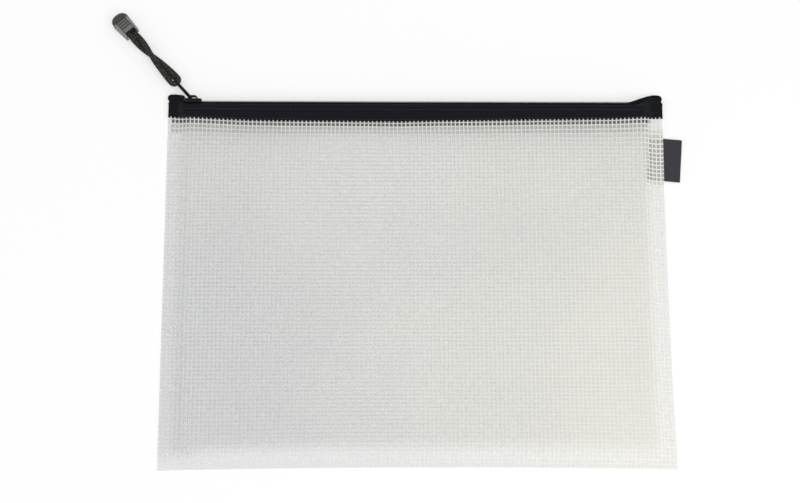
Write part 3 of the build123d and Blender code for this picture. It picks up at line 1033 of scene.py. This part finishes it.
@dataclass
class Zip:
    """The two woven tapes with their stitches and the two coils."""

    body: FilmBody
    depth: float = 9.9 * MM
    tape: float = 0.55 * MM
    half_gap: float = 1.3 * MM
    fold_y: float = 122.4 * MM
    low: float = 109.86 * MM
    bend: float = 2.1 * MM
    end: float = 169.7 * MM
    right_more: float = 0.8 * MM
    lobe_end: float = 170.5 * MM
    lobe_round: float = 2.6 * MM
    free_left: float = -158 * MM
    free_right: float = 148 * MM
    pinched: float = 6 * MM
    tip: float = 129.3 * MM
    columns: int = 200
    rows: int = 26
    stitch: float = 2.9 * MM
    thread: float = 0.42 * MM
    hem: float = 16.2 * MM
    hem_drop: float = 8.2 * MM
    hem_shade_fade: float = 5.6 * MM
    hem_left: float = 167.2 * MM
    hem_right: float = 160.4 * MM
    hem_thick: float = 0.1 * MM
    clearance: float = 0.06 * MM
    upper_row: float = 0.47
    lower_row: float = 0.88
    level: float = 121.1 * MM
    sewn: float = 116 * MM
    front_shut: float = 3.4 * MM
    rear_shut: float = 0.33 * MM
    round_start: float = 162.9 * MM
    round_run: float = 6.8 * MM
    round_drop: float = 5.4 * MM
    coil_pitch: float = 1.5 * MM
    coil_round: float = 0.2 * MM
    lead_start: float = -158.6 * MM
    lead_length: float = 5.1 * MM
    lead_half: float = 0.85 * MM
    lead_apart: float = 2.2 * MM
    lead_y: float = 124.05 * MM
    left_inner: float = 158.25 * MM
    right_inner: float = 146.3 * MM
    tail_deep: float = 1.9 * MM
    tail_inset: float = 0.1 * MM
    tail_sink: float = 3.2 * MM
    sink_start: float = 163 * MM
    sink_end: float = 167 * MM
    coil_half: float = 2.85 * MM
    shut_half: float = 1.1 * MM
    shut_middle: float = 1.9 * MM
    # Tops of the two coil ends in millimetres: distance from the zip's middle, then height in Y
    left_crest: tuple[tuple[float, float], ...] = (
        (158, 128.4), (160, 129.6), (162.4, 130.6), (165, 131.1), (170, 131.0),
    )
    right_crest: tuple[tuple[float, float], ...] = (
        (146, 125.05),
        (147.5, 125.15),
        (149, 125.7),
        (151, 126.5),
        (153, 127.4),
        (155, 128.3),
        (160, 130.4),
        (164, 131.4),
        (166, 131.5),
        (170, 131.2),
    )

    def pinch(self, x: np.ndarray) -> np.ndarray:
        """How far the zip is squeezed shut at x: 0 along the run, 1 at either end."""
        shut = self.body.half_width - self.pinched
        return smooth(-self.free_left, shut, -x) + smooth(self.free_right, shut, x)

    def low_edge(self, x: np.ndarray) -> np.ndarray:
        """Sewn edge of a tape, bowed as it lies."""
        return self.low + self.body.tape_bow(x)

    def section(self, face: Face, x: np.ndarray, share: np.ndarray) -> np.ndarray:
        """Middle line of a tape: flat beside the coil, round the bend and down the sewn leg.

        Args:
            face: Which tape.
            x: Positions along the zip.
            share: Positions across the tape, 0 beside the coil and 1 at the sewn edge.

        Returns:
            Points of the tape's middle line.
        """
        shut = self.pinch(x)
        middle = self.depth / 2
        beyond = np.abs(x) - np.where(x > 0, self.right_more, 0) - self.round_start
        past = np.clip(beyond / self.round_run, 0, 1)
        round_off = self.round_drop * (1 - np.sqrt(1 - 0.98 * past**2))
        low_y = self.low_edge(x)
        half = self.tape / 2
        if face is Face.FRONT:
            sewn = 0 * x + self.sewn
            under = self.body.front_height(x - self.body.edge_wave(x, sewn), sewn)
            seat = under + half + self.clearance
            edge = np.stack([0 * x + self.fold_y, 0 * x + middle + self.half_gap], axis=1)
            corner = np.stack([0 * x + self.fold_y, 0 * x + self.depth - half], axis=1)
            edge_shut = np.stack([self.tip - round_off, 0 * x + self.front_shut], axis=1)
        else:
            seat = 0 * x + half
            edge = np.stack([0 * x + self.fold_y, 0 * x + middle - self.half_gap], axis=1)
            corner = np.stack([0 * x + self.fold_y, seat], axis=1)
            edge_shut = np.stack([self.tip - round_off, 0 * x + self.rear_shut], axis=1)
        corner_shut = np.stack([0 * x + self.level, seat], axis=1)
        mix = shut[:, None]
        edge = edge * (1 - mix) + edge_shut * mix
        corner = corner * (1 - mix) + corner_shut * mix
        foot = np.stack([low_y, seat], axis=1)
        into = edge - corner
        out = foot - corner
        into_len = np.linalg.norm(into, axis=1)[:, None]
        out_len = np.linalg.norm(out, axis=1)[:, None]
        cut = np.minimum(self.bend, 0.9 * into_len)
        start = corner + into / into_len * cut
        stop = corner + out / out_len * np.minimum(self.bend, 0.9 * out_len)
        a = np.clip(share / 0.12, 0, 1)[:, None]
        b = np.clip((share - 0.12) / 0.23, 0, 1)[:, None]
        c = np.clip((share - 0.35) / 0.65, 0, 1)[:, None]
        flat = edge + (start - edge) * a
        arc = (1 - b) ** 2 * start + 2 * b * (1 - b) * corner + b**2 * stop
        leg = stop + (foot - stop) * c
        line = np.where(c > 0, leg, np.where(b > 0, arc, flat))
        return np.stack([x, line[:, 0], line[:, 1]], axis=1)

    def build_tape(self, face: Face, material: Material) -> None:
        """Makes one woven tape.

        Args:
            face: Which tape.
            material: The tape's finish.
        """
        piece = add_grid(f"{face.value}_zip_tape", self.columns, self.rows)
        unit = points_of(piece)
        x = (unit[:, 0] * 2 - 1) * self.end
        x += self.right_more * smooth(150 * MM, self.end, x)
        set_points(piece, self.section(face, x, unit[:, 1]))
        scale_uv(piece, 2 * self.end, 15.5 * MM)
        if face is Face.REAR:
            with whole_mesh(piece):
                bpy.ops.mesh.flip_normals()
        apply_modifier(piece, "SOLIDIFY", thickness=self.tape, offset=0.0)
        smooth_shade(piece, 50)
        dress(piece, material, "wallet")
        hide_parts(f"{face.value}_tape")

    def build_stitches(self, face: Face, material: Material) -> None:
        """Models one thread stitch and lays two rows of copies along a tape.

        Args:
            face: Which tape.
            material: The thread's finish.
        """
        bpy.ops.object.select_all(action="DESELECT")
        bpy.ops.mesh.primitive_uv_sphere_add(segments=8, ring_count=6, radius=0.5, location=(0, 0, 0))
        piece = bpy.context.active_object
        piece.name = f"{face.value}_stitches"
        piece.rotation_euler = (0, math.pi / 2, 0)
        bpy.ops.object.transform_apply(location=False, rotation=True, scale=False)
        piece.scale = (self.stitch * 0.86, self.thread, self.thread)
        bpy.ops.object.transform_apply(location=False, rotation=False, scale=True)
        span = 2 * (self.end - 3 * MM)
        count = int(span / self.stitch)
        set_points(piece, points_of(piece) - np.array([(count - 1) / 2 * self.stitch, 0, 0]))
        repeat(piece, count, (self.stitch, 0, 0))
        repeat(piece, 2, (0, 1.0, 0))
        points = points_of(piece)
        upper = points[:, 1] > 0.5
        across = points[:, 1] - upper
        share = np.where(upper, self.upper_row, self.lower_row)
        on_tape = self.section(face, points[:, 0], share)
        out = 1.0 if face is Face.FRONT else -1.0
        proud = self.tape / 2 + self.thread * 0.1
        on_tape[:, 1] += across
        on_tape[:, 2] += out * (points[:, 2] + proud)
        set_points(piece, on_tape)
        if face is Face.REAR:
            face_out(piece)
        smooth_shade(piece, 80)
        dress(piece, material, "wallet")

    def build_hem(self, material: Material) -> None:
        """Lays the tape's inner hem against the inside of the front sheet, lower than the outer edge.

        Args:
            material: The hem's finish, whose lower edge fades out as painted shade below the tape.
        """
        piece = add_grid("inner_hem", self.columns, 8)
        unit = points_of(piece)
        length = self.hem_left + self.hem_right
        x = unit[:, 0] * length - self.hem_left
        y = self.low - self.hem_drop + unit[:, 1] * self.hem
        z = self.body.front_height(x, y) - self.body.film - self.clearance
        x, y = self.body.outline(x, y)
        set_points(piece, np.stack([x, y, z], axis=1))
        scale_uv(piece, length, self.hem)
        apply_modifier(piece, "SOLIDIFY", thickness=self.hem_thick, offset=-1.0)
        smooth_shade(piece, 50)
        dress(piece, material, "wallet")

    def build_lead(self, face: Face, material: Material) -> None:
        """Shapes the parted end of one coil, which runs past the slider's post into its nose.

        Args:
            face: Which coil.
            material: The coil's finish.
        """
        piece = add_rod(f"{face.value}_coil_lead", 12, 40)
        points = points_of(piece)
        x = self.lead_start + (points[:, 0] + 0.5) * self.lead_length
        rib = 1 + 0.06 * np.cos(2 * math.pi * x / self.coil_pitch)
        squared = np.sign(points[:, 1:]) * np.abs(points[:, 1:]) ** 0.6
        side = 1 if face is Face.FRONT else -1
        y = self.lead_y + squared[:, 0] * self.lead_half * rib
        z = self.depth / 2 + side * self.lead_apart + squared[:, 1] * self.lead_half * rib
        set_points(piece, np.stack([x, y, z], axis=1))
        smooth_shade(piece, 50)
        dress(piece, material, "wallet")

    def build_tail(self, hand: int, material: Material) -> None:
        """Shapes one end of the closed coil, which climbs out of the run and dives between the tapes.

        Args:
            hand: -1 for the left end, 1 for the right end.
            material: The coil's finish.
        """
        piece = add_rod("left_coil_end" if hand < 0 else "right_coil_end", 14, 90)
        points = points_of(piece)
        inner = self.left_inner if hand < 0 else self.right_inner
        run = points[:, 0] + 0.5
        x = hand * (inner + run * (self.lobe_end - inner))
        out = np.abs(x)
        at, rise = np.array(self.left_crest if hand < 0 else self.right_crest).T * MM
        crest = np.interp(out, at, rise)
        shut = self.pinch(x)
        edge = self.fold_y * (1 - shut) + self.tip * shut
        sunk = self.tail_sink * smooth(self.sink_start, self.sink_end, out)
        base = np.minimum(edge - self.tail_inset, crest - self.tail_deep) - sunk
        # The end of the coil is a round lobe beside the tape's own corner
        past = np.clip((out - self.lobe_end) / self.lobe_round + 1, 0, 1)
        blunt = np.sqrt(np.clip(1 - past**2, 0.002, 1))
        half = self.coil_half * (1 - shut) + self.shut_half * shut
        middle = self.depth / 2 * (1 - shut) + self.shut_middle * shut
        rib = 1 + 0.05 * np.cos(2 * math.pi * out / self.coil_pitch)
        squared = np.sign(points[:, 1:]) * np.abs(points[:, 1:]) ** (0.4 + 0.2 * shut[:, None])
        y = (crest + base) / 2 + squared[:, 0] * (crest - base) / 2 * rib * blunt
        z = middle + squared[:, 1] * half * rib * blunt
        set_points(piece, np.stack([x, y, z], axis=1))
        if hand < 0:
            face_out(piece)
        smooth_shade(piece, 50)
        dress(piece, material, "wallet")

    def build_coil(self, face: Face, material: Material, node: Object) -> None:
        """Rounds the loops of a packed coil into bent monofilament.

        Args:
            face: Which coil.
            material: The coil's finish.
            node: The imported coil.
        """
        piece = copy_of_node(node, f"{face.value}_zip_coil")
        round_edges(piece, self.coil_round, 2, 40)
        smooth_shade(piece, 50)
        dress(piece, material, "wallet")
        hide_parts(f"{face.value}_coil")

    def build(self, nodes: dict[str, Object]) -> None:
        """Makes the tapes, their stitches and the coils."""
        cloth = ClothFinish("woven_polyester_tape", "#0A0C11", "#171A24", specular=0.16).make()
        thread = ClothFinish(
            "spun_polyester_thread", "#2A2C34", "#484A54", warp=0.4 * MM, weft=0.4 * MM
        ).make()
        nylon = MouldedFinish(
            "nylon_monofilament", "#020203", "#060607", 0.5, 0.8 * MM, 0.02 * MM, specular=0.12
        ).make()
        for face in Face:
            self.build_tape(face, cloth)
            self.build_stitches(face, thread)
            self.build_coil(face, nylon, nodes[f"{face.value}_coil"])
            self.build_lead(face, nylon)
        # the hem itself is the tape under the front sheet; its fading lower edge is painted shade
        self.build_hem(ClothFinish("polyester_hem_with_painted_shade", "#0A0C11", "#171A24", shade_fade=self.hem_shade_fade).make())
        for hand in (-1, 1):
            self.build_tail(hand, nylon)


@dataclass
class Slider:
    """The cast slider and the wire loop in its bail."""

    edge: float = 0.22 * MM

    def build(self, nodes: dict[str, Object]) -> None:
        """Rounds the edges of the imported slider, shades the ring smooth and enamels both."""
        enamel = MouldedFinish(
            "black_enamel_on_zinc",
            "#030304",
            "#080809",
            0.38,
            0.5 * MM,
            0.015 * MM,
            strength=0.2,
            specular=0.18,
        ).make()
        body = copy_of_node(nodes["slider_body"], "slider")
        round_edges(body, self.edge, 2, 35)
        smooth_shade(body, 45)
        dress(body, enamel, "slider")
        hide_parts("slider_body")
        ring = copy_of_node(nodes["puller_ring"], "puller_loop")
        smooth_shade(ring, 60)
        dress(ring, enamel, "puller")
        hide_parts("puller_ring")


@dataclass
class CordPull:
    """The braided cord looped round the wire and the moulded grip on its ends."""

    hinge: Vector = Vector((-153.95, 127.25, 4.95)) * MM
    angle: float = math.radians(132.0)
    reach: float = 15.15 * MM
    cord: float = 3.8 * MM
    hook_half: float = 2.85 * MM
    tip: float = 47.3 * MM
    grip_length: float = 18.0 * MM
    grip_thick: float = 7.4 * MM
    dome: float = 5.6 * MM
    dome_cuts: tuple[float, ...] = (0.0, 0.25, 0.5, 0.7, 0.85, 0.95)
    dome_flat: float = 0.5
    grip_round: float = 0.28 * MM
    leg: tuple[tuple[float, float, float], ...] = (
        (6.0, 0, 2.85),
        (14.0, 10, 2.2),
        (21.5, 50, 2.2),
        (28.0, 90, 2.15),
        (34.0, 128, 2.2),
        (41.2, 170, 2.2),
        (48.6, 210, 2.0),
        (56.0, 210, 2.0),
    )
    strands: int = 6
    lay: float = 10.5 * MM
    sides: int = 6
    strand_half: float = 0.66 * MM
    strand_deep: float = 0.42 * MM
    wave: float = 0.15 * MM
    press_start: float = 3.7 * MM
    press_full: float = 4.4 * MM
    press_fade: float = 43 * MM
    press_end: float = 46 * MM
    press_over: float = 0.25 * MM
    length: float = 117.0 * MM

    def plane(self) -> Matrix:
        """Frame of the pull: X along it, Z out of the floor side, origin at the ring's far bar.

        Returns:
            The frame's matrix.
        """
        away = Vector((math.cos(self.angle), math.sin(self.angle), 0))
        up = Vector((0, 0, 1))
        far = self.tip + self.grip_length
        slope = math.asin((self.hinge.z - self.grip_thick / 2 - 0.05 * MM) / far)
        x = away * math.cos(slope) - up * math.sin(slope)
        z = away * math.sin(slope) + up * math.cos(slope)
        y = z.cross(x)
        origin = self.hinge + away * self.reach
        return Matrix.Translation(origin) @ Matrix((x, y, z)).transposed().to_4x4()

    def leg_points(self, turn: float) -> list[Vector]:
        """Points of one leg of the cord from the hook into the grip.

        Args:
            turn: 0 for the first leg, half a turn for the second.

        Returns:
            Points in the pull's frame.
        """
        points = [Vector((0, self.hook_half * math.cos(turn), 0))]
        for along, angle, away in self.leg:
            at = math.radians(angle) + turn
            points.append(Vector((along, away * math.cos(at), away * math.sin(at))) * MM)
        return points

    def route(self) -> list[Vector]:
        """Control points of the cord from one grip socket round the ring to the other."""
        local = self.leg_points(0)[::-1] + self.leg_points(math.pi)
        frame = self.plane()
        return [frame @ p for p in local]

    def centreline(self) -> np.ndarray:
        """Smooth line along the route.

        Returns:
            Points of the cord's middle line, read from the spline.
        """
        curve = bpy.data.curves.new("cord_route", "CURVE")
        curve.dimensions = "3D"
        curve.resolution_u = 30
        points = self.route()
        spline = curve.splines.new("NURBS")
        spline.points.add(len(points) - 1)
        for point, place in zip(spline.points, points):
            point.co = (*place, 1.0)
        spline.order_u = 3
        spline.use_endpoint_u = True
        holder = link("cord_route", curve)
        bpy.context.view_layer.update()
        mesh = bpy.data.meshes.new_from_object(holder)
        line = np.array([v.co for v in mesh.vertices])
        bpy.data.objects.remove(holder)
        bpy.data.meshes.remove(mesh)
        bpy.data.curves.remove(curve)
        return line

    def frames(self, line: np.ndarray) -> tuple[np.ndarray, np.ndarray]:
        """Two directions square to the line, carried along it without twist.

        Args:
            line: Points of the middle line.

        Returns:
            The first and second direction at each point.
        """
        tangent = np.gradient(line, axis=0)
        tangent /= np.linalg.norm(tangent, axis=1)[:, None]
        first = np.zeros_like(line)
        start = np.cross(tangent[0], [0, 0, 1])
        first[0] = start / np.linalg.norm(start)
        for i in range(1, len(line)):
            side = first[i - 1] - tangent[i] * np.dot(first[i - 1], tangent[i])
            first[i] = side / np.linalg.norm(side)
        return first, np.cross(tangent, first)

    def tube(self, line: np.ndarray, wide: np.ndarray, deep: np.ndarray) -> tuple[np.ndarray, list]:
        """Skin of a strand with an oval section, closed at both ends.

        Args:
            line: Middle line of the strand.
            wide: Half-width vectors.
            deep: Half-depth vectors.

        Returns:
            Vertices and faces.
        """
        turns = np.arange(self.sides) / self.sides * 2 * math.pi
        round_wide = np.cos(turns)[None, :, None] * wide[:, None]
        round_deep = np.sin(turns)[None, :, None] * deep[:, None]
        rings = line[:, None] + round_wide + round_deep
        faces = []
        for i in range(len(line) - 1):
            for k in range(self.sides):
                n = (k + 1) % self.sides
                a, b = i * self.sides, (i + 1) * self.sides
                faces.append((a + k, a + n, b + n, b + k))
        faces.append(tuple(range(self.sides))[::-1])
        last = (len(line) - 1) * self.sides
        faces.append(tuple(last + k for k in range(self.sides)))
        return rings.reshape(-1, 3), faces

    def press(self, points: np.ndarray, line: np.ndarray) -> np.ndarray:
        """Presses the two legs together: the soft cord fills the space between them.

        Args:
            points: Vertices of the braid.
            line: Middle line of the cord.

        Returns:
            The vertices, with the inner halves of the legs drawn to the pull's middle.
        """
        frame = self.plane()
        turn = np.array(frame.to_3x3())
        start = np.array(frame.translation)
        local = (points - start) @ turn
        route = (line - start) @ turn
        bend = int(np.argmin(route[:, 0]))
        one, two = route[:bend][::-1], route[bend:]
        at = local[:, 0]
        first = np.stack([np.interp(at, one[:, 0], one[:, k]) for k in (1, 2)], axis=1)
        second = np.stack([np.interp(at, two[:, 0], two[:, k]) for k in (1, 2)], axis=1)
        middle = (first + second) / 2
        apart = np.linalg.norm(first - second, axis=1)
        across = (first - second) / apart[:, None]
        offset = np.einsum("ij,ij->i", local[:, 1:] - middle, across)
        half = apart / 2
        inner = np.clip(half - np.abs(offset), 0, None)
        grown = inner * np.maximum(1, (half + self.press_over) / (self.cord / 2))
        pressed = smooth(self.press_start, self.press_full, at)
        share = pressed * (1 - smooth(self.press_fade, self.press_end, at))
        move = -np.sign(offset) * (grown - inner) * share
        local[:, 1:] += across * move[:, None]
        return local @ turn.T + start

    def build_cord(self, material: Material) -> None:
        """Braids the strands over a core along the cord's line.

        Args:
            material: The cord's finish.
        """
        line = self.centreline()
        first, second = self.frames(line)
        along = np.concatenate([[0], np.cumsum(np.linalg.norm(np.diff(line, axis=0), axis=1))])
        outer = self.cord / 2
        vertices, faces = [], []
        count = 0
        for hand in (1, -1):
            for k in range(self.strands):
                turn = hand * 2 * math.pi * along / self.lay + 2 * math.pi * k / self.strands
                over = hand * np.cos(2 * math.pi * self.strands * along / self.lay)
                radius = outer - self.strand_deep - self.wave + self.wave * over
                out = np.cos(turn)[:, None] * first + np.sin(turn)[:, None] * second
                strand = line + out * radius[:, None]
                run = np.gradient(strand, axis=0)
                run /= np.linalg.norm(run, axis=1)[:, None]
                side = np.cross(run, out)
                side /= np.linalg.norm(side, axis=1)[:, None]
                made, quads = self.tube(strand, side * self.strand_half, out * self.strand_deep)
                vertices.append(made)
                faces += [tuple(count + i for i in quad) for quad in quads]
                count += len(made)
        core = outer - 2 * self.strand_deep
        made, quads = self.tube(line, first * core, second * core)
        vertices.append(made)
        faces += [tuple(count + i for i in quad) for quad in quads]
        mesh = bpy.data.meshes.new("braided_cord")
        mesh.from_pydata(self.press(np.concatenate(vertices), line).tolist(), [], faces)
        mesh.update()
        piece = link("braided_cord", mesh)
        face_out(piece)
        smooth_shade(piece, 70)
        dress(piece, material, "cord_pull")
        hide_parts("cord_loop")

    def build_grip(self, material: Material, node: Object) -> Object:
        """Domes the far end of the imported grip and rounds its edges.

        Args:
            material: The grip's finish.
            node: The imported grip.

        Returns:
            The finished grip.
        """
        piece = copy_of_node(node, "grip")
        frame = self.plane()
        far = self.tip + self.grip_length
        for share in self.dome_cuts:
            place = frame @ Vector((far - self.dome * (1 - share), 0, 0))
            with whole_mesh(piece):
                bpy.ops.mesh.bisect(plane_co=place, plane_no=frame.col[0].to_3d())
        turn = np.array(frame.to_3x3())
        local = (points_of(piece) - np.array(frame.translation)) @ turn
        past = np.clip((local[:, 0] - far + self.dome) / self.dome, 0, 1)
        local[:, 2] *= 1 - self.dome_flat * past**2
        set_points(piece, local @ turn.T + np.array(frame.translation))
        round_edges(piece, self.grip_round, 3, 30)
        smooth_shade(piece, 45)
        dress(piece, material, "cord_pull")
        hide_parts("pull_grip")
        return piece

    def build(self, nodes: dict[str, Object]) -> None:
        """Makes the grip and the cord."""
        rubber = GripFinish(self.plane(), self.tip + self.grip_length).make()
        braid = MouldedFinish(
            "braided_polyester_cord",
            "#0B0B0A",
            "#4E4E4A",
            0.7,
            0.3 * MM,
            0.06 * MM,
            patch=0.9 * MM,
            patch_low=0.44,
            patch_high=0.74,
            strength=0.5,
        ).make()
        grip = self.build_grip(rubber, nodes["pull_grip"])
        self.build_cord(braid)


@dataclass
class SideLabel:
    """The folded woven tab in the right seam, left bare."""

    edge_x: float = 170 * MM
    centre_y: float = 85.5 * MM
    height: float = 30 * MM
    out: float = 12 * MM
    tucked: float = 10 * MM
    base: float = 0.58 * MM
    layer: float = 0.28 * MM
    gap: float = 0.09 * MM
    tilt: float = math.radians(-5)
    fold: float = 0.7 * MM
    curl: float = 0.25 * MM
    curl_run: float = 7 * MM
    curl_down: float = 0.1 * MM

    def build(self) -> None:
        """Folds a strip into the tab and dresses it."""
        piece = add_grid("folded_label", 60, 30)
        unit = points_of(piece)
        run = self.out + self.tucked
        travel = unit[:, 0] * 2 * run
        half = (self.layer + self.gap) / 2
        below = travel < run
        away = np.where(below, travel, 2 * run - travel)
        rise = np.where(below, -half, half)
        near = smooth(run - self.fold, run, away)
        rise = rise * np.sqrt(np.clip(1 - near**2, 0, 1))
        along = -self.tucked + away
        across = (unit[:, 1] - 0.5) * self.height
        curl = self.curl * smooth(0, self.out, along) * np.sin(across / self.curl_run + 0.4)
        x = self.edge_x + along * math.cos(self.tilt) - across * math.sin(self.tilt)
        y = self.centre_y + along * math.sin(self.tilt) + across * math.cos(self.tilt)
        z = self.base + self.layer + self.gap / 2 + rise + np.clip(curl, -self.curl_down, 1)
        set_points(piece, np.stack([x, y, z], axis=1))
        scale_uv(piece, 2 * run, self.height)
        apply_modifier(piece, "SOLIDIFY", thickness=self.layer, offset=0.0)
        smooth_shade(piece, 60)
        satin = ClothFinish(
            "woven_satin_label",
            "#302D34",
            "#423E47",
            warp=0.6 * MM,
            weft=0.6 * MM,
            roughness=0.6,
            specular=0.3,
        ).make()
        dress(piece, satin, "wallet")
        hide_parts("side_label")


@dataclass
class Studio:
    """White paper floor, soft light and the camera over the wallet."""

    distance: float = 960.8 * MM
    tilt: float = math.radians(11.957)
    roll: float = math.radians(-0.18)
    pan: float = math.radians(1.104)
    aim: Vector = Vector((-11.175, 19.962, 6.0)) * MM
    lens: float = 64.41
    sky: float = 0.8
    key: float = 6.2
    key_size: float = 0.9
    key_place: tuple[float, float, float] = (0.7, -0.75, 1.15)
    fill: float = 2.0
    fill_size: float = 1.1
    fill_place: tuple[float, float, float] = (-0.8, 0.5, 1.2)
    sensor: float = 36.0

    def build_floor(self) -> None:
        """Lays the floor under the wallet."""
        bpy.ops.object.select_all(action="DESELECT")
        bpy.ops.mesh.primitive_plane_add(size=6, location=(0, 0, -0.02 * MM))
        floor = bpy.context.active_object
        floor.name = "paper_floor"
        floor.data.materials.append(PaperFloorFinish().make())

    def build_lamp(self, name: str, place: tuple[float, float, float], power: float, size: float) -> None:
        """Hangs a square soft lamp that looks at the wallet.

        Args:
            name: Name of the lamp.
            place: Where it hangs.
            power: Its power in watts.
            size: Its side.
        """
        lamp = bpy.data.lights.new(name, "AREA")
        lamp.energy = power
        lamp.size = size
        holder = link(name, lamp)
        holder.location = place
        holder.rotation_euler = (-Vector(place)).to_track_quat("-Z", "Y").to_euler()

    def build_camera(self) -> None:
        """Sets the camera where the photograph was taken from."""
        ahead = Vector(
            (math.sin(self.pan), math.cos(self.pan) * math.sin(self.tilt), -math.cos(self.tilt))
        ).normalized()
        right = ahead.cross(Vector((0, 1, 0))).normalized()
        up = right.cross(ahead)
        side = right * math.cos(self.roll) + up * math.sin(self.roll)
        top = up * math.cos(self.roll) - right * math.sin(self.roll)
        lens = bpy.data.cameras.new("camera")
        lens.lens = self.lens
        lens.sensor_width = self.sensor
        lens.clip_start = 0.01
        camera = link("camera", lens)
        turn = Matrix((side, top, -ahead)).transposed().to_4x4()
        camera.matrix_world = Matrix.Translation(self.aim - ahead * self.distance) @ turn
        bpy.context.scene.camera = camera

    def build(self) -> None:
        """Makes the floor, the lamps, the sky and the camera."""
        self.build_floor()
        self.build_lamp("key_lamp", self.key_place, self.key, self.key_size)
        self.build_lamp("fill_lamp", self.fill_place, self.fill, self.fill_size)
        world = bpy.data.worlds.new("sky")
        world.use_nodes = True
        tree = world.node_tree
        tree.nodes.clear()
        sky = add_node(tree, "ShaderNodeBackground", {"Color": (1, 1, 1, 1), "Strength": self.sky})
        add_node(tree, "ShaderNodeOutputWorld", {"Surface": sky.outputs[0]})
        bpy.context.scene.world = world
        self.build_camera()
        bpy.context.scene.view_settings.view_transform = "Standard"


def main() -> None:
    """Builds the wallet's looks and the studio."""
    logging.basicConfig(level=logging.INFO, format="%(message)s")
    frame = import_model()
    nodes = frame["nodes"]
    body = FilmBody()
    Studio().build()
    CordPull().build(nodes)
    body.build()
    Zip(body).build(nodes)
    Slider().build(nodes)
    SideLabel().build()


if __name__ == "__main__":
    main()
